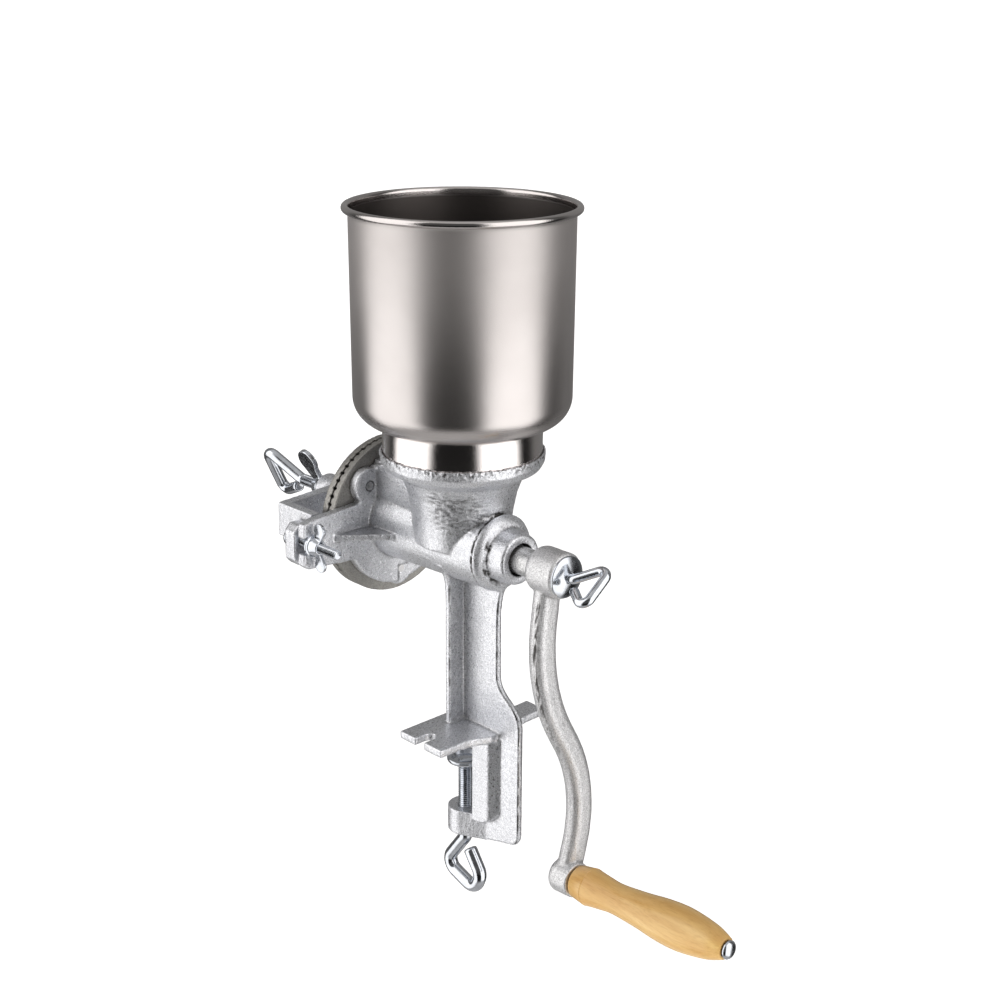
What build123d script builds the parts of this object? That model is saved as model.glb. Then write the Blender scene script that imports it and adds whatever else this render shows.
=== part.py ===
from build123d import *
import math
import os

# Hand-cranked plate grain mill that clamps to a table edge. Millimetres.
# +X runs along the auger from the burrs to the crank, +Z is up. The origin is on the underside of the
# table jaw, where the clamp screw's axis meets it.

# Auger line and hopper
AUGER_Z = 124.0
HOPPER_X = -3.0
HOPPER_WALL = 1.0
RIM_Z = 326.9
RIM_R = 67.8
RIM_BEAD_R = 2.2
CUP_TOP_R = 66.3
CUP_BASE_R = 65.6
CUP_BASE_Z = 216.0
CUP_CORNER_R = 17.0
NECK_R = CUP_BASE_R - CUP_CORNER_R
SEAT_Z = 175.5
SEAT_GAP = 0.3

# Running fit of a shaft or screw in its bore, radial
RUN = 0.05

# Casting
BARREL_R = 26.5
BARREL_END_R = 23.4
BARREL_BORE_R = 21.0
FLANGE_X = -67.0
FLANGE_T = 6.5
COLLAR_X = 29.0
COLLAR_R = 24.2
COLLAR_END_X = 36.0
NECK_END_X = 48.5
SHAFT_R = 8.5
PIN_CIRCLE_R = 36.0
PIN_ANGLES = (45, 135, 270)
BURR_PIN_R = 2.5
BOLT_Y = 71.0
BOLT_DROP = 2.5
COLUMN_HALF_W = 15.0
COLUMN_T = 4.0
FLARE_Z = 78.0
WEB_HALF_T = 2.2
JAW_T = 5.0
JAW_BACK_X = -12.4
JAW_FRONT_X = 25.6
JAW_HALF_W = 44.4
JAW_SLOT_X = 6.0
JAW_SLOT_R = 3.8
JAW_SLOT_DEPTH = 12.5
SPINE_X = 14.0
SPINE_END_X = 31.0
SPINE_HALF_W = 8.0
SPINE_BASE_Z = -64.0
FRAME_END_X = 49.8
BOSS_R = 11.6
BOSS_TOP_Z = -57.5
BOSS_BASE_Z = -74.5

# Burrs, carrier and thrust
BURR_R = 51.0
BURR_EYE_R = 22.0
STATIONARY_END_X = -72.2
ROTATING_X = -73.2
ROTATING_END_X = -78.2
CARRIER_END_X = -84.0
CARRIER_HUB_END_X = -91.0
CARRIER_R = 39.0
CARRIER_HUB_R = 16.0
BURR_TEETH = 60
TOOTH_W = 1.5
TOOTH_DEPTH = 1.3
CARRIER_PIN_CIRCLE_R = 30.0
DRIVE_PIN_X = -80.75
DRIVE_PIN_R = 2.5
DRIVE_PIN_HALF_L = 17.0
CORE_END_X = -85.8
BALL_R = 4.5
BALL_X = -92.6
CORE_R = 8.0
FLIGHT_R = 20.2
FLIGHT_PITCH = 26.0
FLIGHT_X = -58.0
FLIGHT_L = 70.0
FLIGHT_MID_R = (CORE_R + FLIGHT_R) / 2 - 0.5

# Pressure bracket and adjusting screw
BRACKET_BACK_X = -105.0
BRACKET_IN_X = -99.0
BRACKET_HALF_W = 64.0
BRACKET_WALL = 6.5
BRACKET_TOP = 13.0
BRACKET_BASE = -9.0
LUG_X = -71.0
LUG_T = 10.0
LUG_END_Y = 77.5
BRACKET_BOSS_R = 11.0
BRACKET_BOSS_END_X = -138.0
ADJUST_R = 4.0
LOCK_NUT_ANGLE = 112.0
ADJUST_TIP_X = -97.4
ADJUST_STEM_X = -163.0
ADJUST_LOOP_X = -195.4
ADJUST_LOOP_HALF_W = 19.0
ADJUST_ROD_R = 3.9
ADJUST_BEND_R = 5.0
ADJUST_LOOP_ANGLE = 115.0

# Bracket bolts, their washers and the wing nuts
BOLT_R = 3.0
BOLT_HEAD_R = 6.0
BOLT_HEAD_T = 3.0
BOLT_HEAD_X = LUG_X - LUG_T
BOLT_TAIL_X = -36.0
WASHER_R = 7.0
WASHER_X = FLANGE_X + FLANGE_T
WASHER_T = 1.6
WING_GAP = 0.1

# Crank: its arm and grip lean outwards by this angle
CANT = 4.0
HUB_X = 62.0
HUB_END_X = 85.4
HUB_R = 14.0
ARM_X = 72.0
ARM_W = 17.0
ARM_T = 12.4
ARM_CORNER = 5.9
ARM_BENDS = (-11.4, 27.7, -20.5)
ARM_RUNS = (31.4, 9.5)
ARM_RADII = (108.6, 86.7)
ARM_DROP = 200.0
GRIP_BOSS_R = 11.0
GRIP_BOSS_HALF_L = 8.5
GRIP_START = 9.2
GRIP_L = 116.0
HANDLE_BOLT_R = 3.0
SHAFT_X = 18.0
SHAFT_END_X = 79.8
SHAFT_FLAT = 7.0
SHAFT_FLAT_X = 61.5
SHAFT_TAP_X = 60.0
CRANK_SCREW_R = 3.0
CRANK_SCREW_TIP_X = 63.0
CRANK_STEM_X = 89.0
CRANK_LOOP_X = 110.5
CRANK_LOOP_HALF_W = 15.9
CRANK_ROD_R = 2.95
CRANK_BEND_R = 4.2
CRANK_LOOP_ANGLE = 37.0

# Clamp screw
CLAMP_R = 4.9
CLAMP_TIP_R = 3.4
HOOK_ROD_R = 4.45
PAD_TOP_Z = -23.0
PAD_T = 5.5
PAD_R = 12.2

os.makedirs("parts", exist_ok=True)


def save(piece, name):
    piece.part.label = name
    export_step(piece.part, f"parts/{name}.step")


def across(x, y=0.0, z=AUGER_Z):
    """Plane square to the auger: its own x runs along +Y, its own y along +Z, its normal along +X."""
    return Plane(origin=(x, y, z), x_dir=(0, 1, 0), z_dir=(1, 0, 0))


SIDE = Plane(origin=(0, 0, 0), x_dir=(1, 0, 0), z_dir=(0, -1, 0))
HOPPER_SIDE = Plane(origin=(HOPPER_X, 0, 0), x_dir=(1, 0, 0), z_dir=(0, -1, 0))
AUGER_SIDE = Plane(origin=(0, 0, AUGER_Z), x_dir=(1, 0, 0), z_dir=(0, -1, 0))
HOPPER_AXIS = Axis((HOPPER_X, 0, 0), (0, 0, 1))
AUGER_AXIS = Axis((0, 0, AUGER_Z), (1, 0, 0))
SCREW_AXIS = Axis((0, 0, 0), (0, 0, 1))

# ---------------------------------------------------------------- hopper
with BuildPart() as hopper:
    with BuildSketch(HOPPER_SIDE):
        with BuildLine():
            outer = Polyline((CUP_BASE_R, CUP_BASE_Z), (CUP_TOP_R, RIM_Z))
            inner_top = (CUP_TOP_R - HOPPER_WALL, RIM_Z)
            inner_base = (CUP_BASE_R - HOPPER_WALL, CUP_BASE_Z)
            Line(outer @ 1, inner_top)
            Line(inner_top, inner_base)
            inner_bend = CenterArc((NECK_R, CUP_BASE_Z), CUP_CORNER_R - HOPPER_WALL, 0, -90)
            inner_neck = (NECK_R - HOPPER_WALL, CUP_BASE_Z - CUP_CORNER_R + HOPPER_WALL)
            Line(inner_bend @ 1, inner_neck)
            Line(inner_neck, (NECK_R - HOPPER_WALL, SEAT_Z))
            Line((NECK_R - HOPPER_WALL, SEAT_Z), (NECK_R, SEAT_Z))
            Line((NECK_R, SEAT_Z), (NECK_R, CUP_BASE_Z - CUP_CORNER_R))
            CenterArc((NECK_R, CUP_BASE_Z), CUP_CORNER_R, -90, 90)
        make_face()
        with Locations((RIM_R, RIM_Z)):
            Circle(RIM_BEAD_R)
    revolve(axis=HOPPER_AXIS)
save(hopper, "hopper")

# ---------------------------------------------------------------- mill body
with BuildPart() as mill_body:
    # spine of the clamp frame: a rib with rounded shoulders whose foot curves up towards the front
    with BuildSketch(Plane.XY.offset(SPINE_BASE_Z)):
        spine_plan = Polygon(
            (SPINE_X, -SPINE_HALF_W),
            (SPINE_END_X - 3, -SPINE_HALF_W),
            (SPINE_END_X + 4, -WEB_HALF_T),
            (SPINE_END_X + 4, WEB_HALF_T),
            (SPINE_END_X - 3, SPINE_HALF_W),
            (SPINE_X, SPINE_HALF_W),
            align=None,
        )
        fillet(spine_plan.vertices().filter_by_position(Axis.X, SPINE_END_X - 4, SPINE_END_X - 2), 5)
    extrude(amount=2 - SPINE_BASE_Z)
    with BuildSketch(SIDE):
        with BuildLine():
            foot_curve = Spline(
                (SPINE_X, BOSS_TOP_Z - 3),
                (SPINE_END_X - 3, BOSS_TOP_Z + 0.5),
                (SPINE_END_X + 5, BOSS_TOP_Z + 14),
                tangents=((1, 0), (0.1, 1)),
            )
            Polyline(
                foot_curve @ 1, (SPINE_END_X + 5, SPINE_BASE_Z), (SPINE_X, SPINE_BASE_Z), foot_curve @ 0
            )
        make_face()
    extrude(amount=SPINE_HALF_W + 1, both=True, mode=Mode.SUBTRACT)
    # hopper ring and throat
    with BuildSketch(HOPPER_SIDE):
        with BuildLine():
            Polyline(
                (0, AUGER_Z),
                (29.0, AUGER_Z),
                (31.0, 144.0),
                (33.5, 156.0),
                (37.5, 166.5),
                (47.6, 172.0),
                (49.9, 176.0),
                (50.2, 182.0),
                (0, 182.0),
                close=True,
            )
        make_face()
    revolve(axis=HOPPER_AXIS)
    # barrel, collar and bearing neck
    with BuildSketch(AUGER_SIDE):
        with BuildLine():
            taper = Polyline((FLANGE_X, 0), (FLANGE_X, BARREL_R), (COLLAR_X, BARREL_END_R))
            groove = Polyline(
                taper @ 1,
                (COLLAR_X, BARREL_END_R - 1.5),
                (COLLAR_X + 1.6, BARREL_END_R - 1.5),
                (COLLAR_X + 1.6, COLLAR_R),
            )
            bend = RadiusArc(groove @ 1, (COLLAR_END_X, 18.0), 8)
            neck = Polyline(bend @ 1, (COLLAR_END_X, 16.8), (NECK_END_X - 1.5, 15.7), (NECK_END_X, 14.4))
            Polyline(neck @ 1, (NECK_END_X, 0), taper @ 0)
        make_face()
    revolve(axis=AUGER_AXIS)
    # shoulder between the throat and the flange
    with BuildSketch(SIDE):
        Polygon(
            (FLANGE_X, AUGER_Z + 5),
            (FLANGE_X, AUGER_Z + 37),
            (-40, AUGER_Z + 43),
            (-18, AUGER_Z + 43),
            (-18, AUGER_Z + 5),
            align=None,
        )
    extrude(amount=20, both=True)
    # flange: hub disc, two upper ears, lower sector
    with BuildSketch(across(FLANGE_X)):
        Circle(33.0)
        with BuildLine():
            Polyline((0, 0), (-44, -14), (-40, -30), (0, -30), close=True)
        for angle in PIN_ANGLES[:2]:
            with PolarLocations(PIN_CIRCLE_R, 1, angle):
                Circle(11.5)
        with Locations((0, 30)):
            Rectangle(34, 20)
    extrude(amount=FLANGE_T)
    with BuildSketch(across(FLANGE_X)):
        Circle(44.0)
        with Locations((0, 60 - 14)):
            Rectangle(120, 120, mode=Mode.SUBTRACT)
        with PolarLocations(PIN_CIRCLE_R, 1, PIN_ANGLES[2]):
            Circle(11.0)
    extrude(amount=FLANGE_T - 2.5)
    with BuildSketch(across(FLANGE_X)):
        Circle(44.0)
        with Locations((0, 60 - 14)):
            Rectangle(120, 120, mode=Mode.SUBTRACT)
        with Locations((60 - 3, -40)):
            Rectangle(120, 120, mode=Mode.SUBTRACT)
    extrude(amount=FLANGE_T)
    # fork arms out to the two bracket bolts
    with BuildSketch(across(FLANGE_X)):
        for side in (-1, 1):
            Polygon(
                (0, 17.5),
                (side * 17, 16.5),
                (side * 70, 13.5),
                (side * 77.5, 11.5),
                (side * 78.5, -14.5),
                (side * 75, -17.5),
                (side * 40, -20),
                (0, -21),
                align=None,
            )
            with Locations((side * (BOLT_Y + 6), -BOLT_DROP)):
                SlotOverall(28, 10, mode=Mode.SUBTRACT)
    extrude(amount=FLANGE_T)
    # level gussets from the arms to the barrel
    with BuildSketch(Plane.XY.offset(AUGER_Z - 4)):
        for side in (-1, 1):
            Polygon(
                (FLANGE_X + 3, side * 20),
                (FLANGE_X + 3, side * 55),
                (FLANGE_X + FLANGE_T + 1.5, side * 54),
                (-36, side * 25),
                (-36, side * 20),
                align=None,
            )
    extrude(amount=4)
    # column: a cross flange under the throat and a deep web behind it
    with BuildSketch(across(HOPPER_X, z=0)):
        with BuildLine():
            right_edge = Line((COLUMN_HALF_W, 0), (COLUMN_HALF_W, FLARE_Z))
            right_flare = Spline(right_edge @ 1, (22, AUGER_Z - 12), tangents=((0, 1), (0.8, 0.6)))
            across_top = Line(right_flare @ 1, (-22, AUGER_Z - 12))
            left_flare = Spline(across_top @ 1, (-COLUMN_HALF_W, FLARE_Z), tangents=((0.8, -0.6), (0, -1)))
            Polyline(left_flare @ 1, (-COLUMN_HALF_W, 0), right_edge @ 0)
        make_face()
    extrude(amount=COLUMN_T)
    with BuildSketch(SIDE):
        with BuildLine():
            front_top = Spline((40, AUGER_Z - 15), (30, FLARE_Z), tangents=((-0.8, -0.6), (0, -1)))
            back = Line(front_top @ 1, (30, 44))
            flare = Spline((30, 44), (39, 29), (FRAME_END_X, 12), tangents=((0, -1), (0, -1)))
            heel = Line(flare @ 1, (FRAME_END_X, -61))
            corner = CenterArc((FRAME_END_X - 8, -61), 8, 0, -80)
            foot = Polyline(corner @ 1, (32, -71.5), (20, BOSS_BASE_Z), (0, BOSS_BASE_Z), (0, BOSS_TOP_Z))
            Polyline(foot @ 1, (HOPPER_X + 2, 0), (HOPPER_X + 2, AUGER_Z - 15), front_top @ 0)
        make_face()
        with BuildLine():
            Polyline(
                (-30, 0), (SPINE_X, 0), (SPINE_X, BOSS_TOP_Z), (-30, BOSS_TOP_Z), close=True
            )
        make_face(mode=Mode.SUBTRACT)
    extrude(amount=WEB_HALF_T, both=True)
    # table jaw: an open bolt slot in its left end, a single front prong at its right end
    with BuildSketch(Plane.XY):
        Polygon(
            (JAW_BACK_X, -JAW_HALF_W),
            (JAW_FRONT_X, -JAW_HALF_W),
            (JAW_FRONT_X + 1, -22),
            (JAW_FRONT_X + 7, -8),
            (JAW_FRONT_X + 7, 8),
            (JAW_FRONT_X + 1, 22),
            (JAW_FRONT_X, JAW_HALF_W),
            (JAW_BACK_X, JAW_HALF_W),
            align=None,
        )
        with Locations((JAW_SLOT_X, JAW_SLOT_DEPTH - JAW_HALF_W - 15)):
            SlotOverall(30, 2 * JAW_SLOT_R, rotation=90, mode=Mode.SUBTRACT)
        with Locations((JAW_SLOT_X + JAW_SLOT_R, JAW_HALF_W - JAW_SLOT_DEPTH)):
            Rectangle(30, 30, align=(Align.MAX, Align.MIN), mode=Mode.SUBTRACT)
    extrude(amount=JAW_T)
    # boss that the clamp screw runs in
    with BuildSketch(Plane.XY.offset(BOSS_BASE_Z)):
        Circle(BOSS_R)
        Polygon(
            (0, -BOSS_R),
            (6, -9.9),
            (22, -WEB_HALF_T),
            (22, WEB_HALF_T),
            (6, 9.9),
            (0, BOSS_R),
            align=None,
        )
    extrude(amount=BOSS_TOP_Z - BOSS_BASE_Z)

    # hollows: hopper seat and funnel, barrel, bearing, pin holes, screw hole
    with BuildSketch(HOPPER_SIDE):
        with BuildLine():
            Polyline(
                (0, AUGER_Z),
                (19.0, AUGER_Z),
                (21.0, 150.0),
                (27.0, 163.0),
                (41.0, SEAT_Z),
                (NECK_R + SEAT_GAP, SEAT_Z),
                (NECK_R + SEAT_GAP, 190.0),
                (0, 190.0),
                close=True,
            )
        make_face()
    revolve(axis=HOPPER_AXIS, mode=Mode.SUBTRACT)
    with BuildSketch(across(FLANGE_X - 1)):
        Circle(BARREL_BORE_R)
    extrude(amount=21 - FLANGE_X, mode=Mode.SUBTRACT)
    with BuildSketch(across(0)):
        Circle(SHAFT_R + RUN)
    extrude(amount=NECK_END_X + 1, mode=Mode.SUBTRACT)
    with BuildSketch(across(NECK_END_X - 5)):
        Circle(SHAFT_R + 1.3)
    extrude(amount=7, mode=Mode.SUBTRACT)
    with BuildSketch(across(FLANGE_X - 1)):
        for angle in PIN_ANGLES:
            with PolarLocations(PIN_CIRCLE_R, 1, angle):
                Circle(BURR_PIN_R + RUN)
    extrude(amount=FLANGE_T + 2, mode=Mode.SUBTRACT)
    with BuildSketch(Plane.XY.offset(BOSS_BASE_Z - 5)):
        Circle(CLAMP_R + RUN)
    extrude(amount=BOSS_TOP_Z - BOSS_BASE_Z + 10, mode=Mode.SUBTRACT)
save(mill_body, "mill_body")

# ---------------------------------------------------------------- burrs
# Each burr: name, back face, front face, eye radius, furrowed face, way the furrows are cut, pin circle
BURR_NODES = (
    ("stationary_burr", FLANGE_X, STATIONARY_END_X, BURR_EYE_R, STATIONARY_END_X, 1, PIN_CIRCLE_R),
    ("rotating_burr", ROTATING_X, ROTATING_END_X, CORE_R + 4, ROTATING_X, -1, CARRIER_PIN_CIRCLE_R),
)
for name, start_x, end_x, eye_r, face_x, into, pin_circle_r in BURR_NODES:
    with BuildPart() as burr:
        with BuildSketch(across(end_x)):
            Circle(BURR_R)
            Circle(eye_r, mode=Mode.SUBTRACT)
        extrude(amount=start_x - end_x)
        # grinding furrows, open at the rim
        with BuildSketch(across(face_x)):
            with PolarLocations(0.78 * BURR_R, BURR_TEETH):
                Rectangle(0.5 * BURR_R, TOOTH_W)
        extrude(amount=into * TOOTH_DEPTH, mode=Mode.SUBTRACT)
        with BuildSketch(across(end_x - 1)):
            for angle in PIN_ANGLES:
                with PolarLocations(pin_circle_r, 1, angle):
                    Circle(BURR_PIN_R + RUN)
        extrude(amount=start_x - end_x + 2, mode=Mode.SUBTRACT)
    save(burr, name)

with BuildPart() as burr_pins:
    with BuildSketch(across(STATIONARY_END_X + TOOTH_DEPTH + 0.2)):
        for angle in PIN_ANGLES:
            with PolarLocations(PIN_CIRCLE_R, 1, angle):
                Circle(BURR_PIN_R)
    extrude(amount=FLANGE_X + 5 - STATIONARY_END_X - TOOTH_DEPTH)
save(burr_pins, "burr_pins")

with BuildPart() as burr_carrier:
    with BuildSketch(across(CARRIER_END_X)):
        Circle(CARRIER_R)
    extrude(amount=ROTATING_END_X - CARRIER_END_X)
    with BuildSketch(across(CARRIER_HUB_END_X)):
        Circle(CARRIER_HUB_R)
    extrude(amount=CARRIER_END_X - CARRIER_HUB_END_X)
    # socket for the auger's end, pocket for the thrust ball, slot for the drive pin
    with BuildSketch(across(CORE_END_X - 0.2)):
        Circle(CORE_R + RUN)
    extrude(amount=10, mode=Mode.SUBTRACT)
    with BuildSketch(across(CARRIER_HUB_END_X)):
        Circle(BALL_R + 0.4)
    extrude(amount=3, mode=Mode.SUBTRACT)
    with BuildSketch(across(DRIVE_PIN_X - DRIVE_PIN_R - RUN)):
        Rectangle(2 * (DRIVE_PIN_R + RUN), 2 * DRIVE_PIN_HALF_L + 0.4)
    extrude(amount=10, mode=Mode.SUBTRACT)
    with BuildSketch(across(CARRIER_END_X - 1)):
        for angle in PIN_ANGLES:
            with PolarLocations(CARRIER_PIN_CIRCLE_R, 1, angle):
                Circle(BURR_PIN_R + RUN)
    extrude(amount=8, mode=Mode.SUBTRACT)
save(burr_carrier, "burr_carrier")

with BuildPart() as carrier_pins:
    with BuildSketch(across(CARRIER_END_X - 1)):
        for angle in PIN_ANGLES:
            with PolarLocations(CARRIER_PIN_CIRCLE_R, 1, angle):
                Circle(BURR_PIN_R)
    extrude(amount=ROTATING_X - CARRIER_END_X - 1)
save(carrier_pins, "carrier_pins")

with BuildPart() as drive_pin:
    with BuildSketch(Plane.XY.offset(AUGER_Z - DRIVE_PIN_HALF_L)):
        with Locations((DRIVE_PIN_X, 0)):
            Circle(DRIVE_PIN_R)
    extrude(amount=2 * DRIVE_PIN_HALF_L)
save(drive_pin, "drive_pin")

with BuildPart() as thrust_ball:
    with BuildSketch(AUGER_SIDE):
        with Locations((BALL_X, 0)):
            Circle(BALL_R)
        with Locations((BALL_X, -BALL_R)):
            Rectangle(4 * BALL_R, 2 * BALL_R, mode=Mode.SUBTRACT)
    revolve(axis=AUGER_AXIS)
save(thrust_ball, "thrust_ball")

# ---------------------------------------------------------------- auger
with BuildPart() as auger:
    with BuildSketch(across(CORE_END_X)):
        Circle(CORE_R)
    extrude(amount=SHAFT_X - CORE_END_X)
    with BuildSketch(across(SHAFT_X)):
        Circle(SHAFT_R)
    extrude(amount=SHAFT_END_X - SHAFT_X)
    with BuildLine() as flight_line:
        Helix(FLIGHT_PITCH, FLIGHT_L, FLIGHT_MID_R, center=(FLIGHT_X, 0, AUGER_Z), direction=(1, 0, 0))
    flight_start = flight_line.line @ 0
    with BuildSketch(Plane(origin=flight_start, x_dir=(0, 0, 1), z_dir=flight_line.line % 0)):
        Trapezoid(FLIGHT_R - CORE_R + 1, 5.5, 83, align=(Align.CENTER, Align.CENTER))
    sweep(is_frenet=True)
    # drive pin hole, flat for the crank, tapped end for the thumb screw
    with BuildSketch(Plane.XY.offset(AUGER_Z - 20)):
        with Locations((DRIVE_PIN_X, 0)):
            Circle(DRIVE_PIN_R + RUN)
    extrude(amount=40, mode=Mode.SUBTRACT)
    with BuildSketch(across(SHAFT_FLAT_X)):
        with Locations((0, 2 * SHAFT_R)):
            Rectangle(4 * SHAFT_R, 2 * (2 * SHAFT_R - SHAFT_FLAT))
    extrude(amount=SHAFT_END_X - SHAFT_FLAT_X + 1, mode=Mode.SUBTRACT)
    with BuildSketch(across(SHAFT_TAP_X)):
        Circle(CRANK_SCREW_R + RUN)
    extrude(amount=SHAFT_END_X - SHAFT_TAP_X + 1, mode=Mode.SUBTRACT)
save(auger, "auger")

# ---------------------------------------------------------------- pressure bracket and its bolts
with BuildPart() as pressure_bracket:
    with BuildSketch(Plane.XY.offset(AUGER_Z + BRACKET_BASE)):
        Polygon(
            (BRACKET_BACK_X, -BRACKET_HALF_W),
            (BRACKET_BACK_X - 6, -18),
            (BRACKET_BACK_X - 6, 18),
            (BRACKET_BACK_X, BRACKET_HALF_W),
            (LUG_X, BRACKET_HALF_W),
            (LUG_X, BRACKET_HALF_W - BRACKET_WALL),
            (BRACKET_IN_X, BRACKET_HALF_W - BRACKET_WALL),
            (BRACKET_IN_X - 3, 18),
            (BRACKET_IN_X - 3, -18),
            (BRACKET_IN_X, BRACKET_WALL - BRACKET_HALF_W),
            (LUG_X, BRACKET_WALL - BRACKET_HALF_W),
            (LUG_X, -BRACKET_HALF_W),
            align=None,
        )
    extrude(amount=BRACKET_TOP - BRACKET_BASE)
    with BuildSketch(across(LUG_X - LUG_T)):
        for side in (-1, 1):
            Polygon(
                (side * (BRACKET_HALF_W - BRACKET_WALL), 8),
                (side * 73, 8),
                (side * LUG_END_Y, 4),
                (side * LUG_END_Y, -14),
                (side * 74, -18),
                (side * (BRACKET_HALF_W - 4), -18),
                (side * (BRACKET_HALF_W - BRACKET_WALL), -9),
                align=None,
            )
    extrude(amount=LUG_T)
    with BuildSketch(AUGER_SIDE):
        Polygon(
            (BRACKET_IN_X - 3, 0),
            (BRACKET_IN_X - 3, 12),
            (BRACKET_BACK_X - 6, 14),
            (BRACKET_BACK_X - 14, BRACKET_BOSS_R),
            (BRACKET_BOSS_END_X, BRACKET_BOSS_R - 0.6),
            (BRACKET_BOSS_END_X, 0),
            align=None,
        )
    revolve(axis=AUGER_AXIS)
    with BuildSketch(across(BRACKET_BOSS_END_X - 1)):
        Circle(ADJUST_R + RUN)
    extrude(amount=45, mode=Mode.SUBTRACT)
    with BuildSketch(across(LUG_X - LUG_T - 1)):
        with Locations((-BOLT_Y, -BOLT_DROP), (BOLT_Y, -BOLT_DROP)):
            Circle(BOLT_R + RUN)
    extrude(amount=LUG_T + 2, mode=Mode.SUBTRACT)
save(pressure_bracket, "pressure_bracket")

with BuildPart() as bracket_bolts:
    with BuildSketch(across(BOLT_HEAD_X - BOLT_HEAD_T)):
        with Locations((-BOLT_Y, -BOLT_DROP), (BOLT_Y, -BOLT_DROP)):
            Circle(BOLT_HEAD_R)
    extrude(amount=BOLT_HEAD_T)
    with BuildSketch(across(BOLT_HEAD_X)):
        with Locations((-BOLT_Y, -BOLT_DROP), (BOLT_Y, -BOLT_DROP)):
            Circle(BOLT_R)
    extrude(amount=BOLT_TAIL_X - BOLT_HEAD_X)
save(bracket_bolts, "bracket_bolts")

for side, name in ((-1, "left"), (1, "right")):
    with BuildPart() as washer:
        with BuildSketch(across(WASHER_X, side * BOLT_Y, AUGER_Z - BOLT_DROP)):
            Circle(WASHER_R)
            Circle(BOLT_R + RUN, mode=Mode.SUBTRACT)
        extrude(amount=WASHER_T)
    save(washer, f"bracket_washer_{name}")


def wing_plane(x, y, z, angle):
    """Plane through a nut's axis: its own x runs along +X, its own y outwards at the angle from +Y."""
    out = (0, math.cos(math.radians(angle)), math.sin(math.radians(angle)))
    return Plane(origin=(x, y, z), x_dir=(1, 0, 0), z_dir=(0, out[2], -out[1]))


# Each wing nut: name, seat x, centre y, centre z, way it faces, angle of its wings, hub size, wing size,
# bore radius
WING_NUTS = (
    ("wing_nut_left", WASHER_X + WASHER_T, -BOLT_Y, AUGER_Z - BOLT_DROP, 1, 90, 0.78, 0.78, BOLT_R),
    ("wing_nut_right", WASHER_X + WASHER_T, BOLT_Y, AUGER_Z - BOLT_DROP, 1, 90, 0.78, 0.78, BOLT_R),
    ("lock_nut", BRACKET_BOSS_END_X, 0, AUGER_Z, -1, LOCK_NUT_ANGLE, 1.15, 1.4, ADJUST_R),
)
for name, seat_x, nut_y, nut_z, faces, angle, size, wing, bore_r in WING_NUTS:
    with BuildPart() as wing_nut:
        nut_axis = Axis((seat_x, nut_y, nut_z), (1, 0, 0))
        hub_plane = wing_plane(seat_x + faces * WING_GAP, nut_y, nut_z, angle)
        with BuildSketch(hub_plane):
            Polygon(
                (0, 0),
                (0, 7.6 * size),
                (faces * 3.0 * size, 7.2 * size),
                (faces * 8.0 * size, 5.4 * size),
                (faces * 8.0 * size, 0),
                align=None,
            )
        revolve(axis=nut_axis)
        for turn in (0, 180):
            with BuildSketch(wing_plane(seat_x + faces * WING_GAP, nut_y, nut_z, angle + turn)):
                with BuildLine():
                    root = Line((faces * 1.0 * size, 4.4 * size), (faces * 2.0 * wing, 11.0 * wing))
                    tip = ThreePointArc(
                        root @ 1,
                        (faces * 9.5 * wing, 19.5 * wing),
                        (faces * 12.5 * wing, 12.0 * wing),
                    )
                    Polyline(tip @ 1, (faces * 7.8 * size, 4.4 * size), root @ 0)
                make_face()
            extrude(amount=1.4 * size, both=True)
        with BuildSketch(across(seat_x - 20, nut_y, nut_z)):
            Circle(bore_r + RUN)
        extrude(amount=40, mode=Mode.SUBTRACT)
    save(wing_nut, name)


def loop_screw(tip_x, stem_x, loop_x, half_w, shank_r, rod_r, bend_r, angle):
    """Threaded shank along the auger line whose rod is bent to a triangular loop at its far end."""
    ahead = math.copysign(1, loop_x - stem_x)
    base = wing_plane(0, 0, AUGER_Z, angle)
    with BuildPart() as screw:
        with BuildSketch(across(min(tip_x, stem_x))):
            Circle(shank_r)
        extrude(amount=abs(stem_x - tip_x))
        with BuildLine(base) as rod_line:
            FilletPolyline(
                (stem_x - ahead * 1.0, 0),
                (stem_x + ahead * 2.2, 0),
                (loop_x, half_w),
                (loop_x, -half_w),
                (stem_x + ahead * 2.6 * rod_r, -2.15 * rod_r),
                radius=bend_r,
            )
        with BuildSketch(across(stem_x - ahead * 1.0, 0, AUGER_Z)):
            Circle(rod_r)
        sweep()
    return screw


adjusting_screw = loop_screw(
    ADJUST_TIP_X,
    ADJUST_STEM_X,
    ADJUST_LOOP_X,
    ADJUST_LOOP_HALF_W,
    ADJUST_R,
    ADJUST_ROD_R,
    ADJUST_BEND_R,
    ADJUST_LOOP_ANGLE,
)
save(adjusting_screw, "adjusting_screw")

# ---------------------------------------------------------------- crank
CRANK_OUT = Vector(math.cos(math.radians(CANT)), 0, math.sin(math.radians(CANT)))
ARM_ORIGIN = Vector(ARM_X, 0, AUGER_Z)
ARM_PLANE = Plane(origin=ARM_ORIGIN, x_dir=(0, 1, 0), z_dir=CRANK_OUT)


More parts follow.
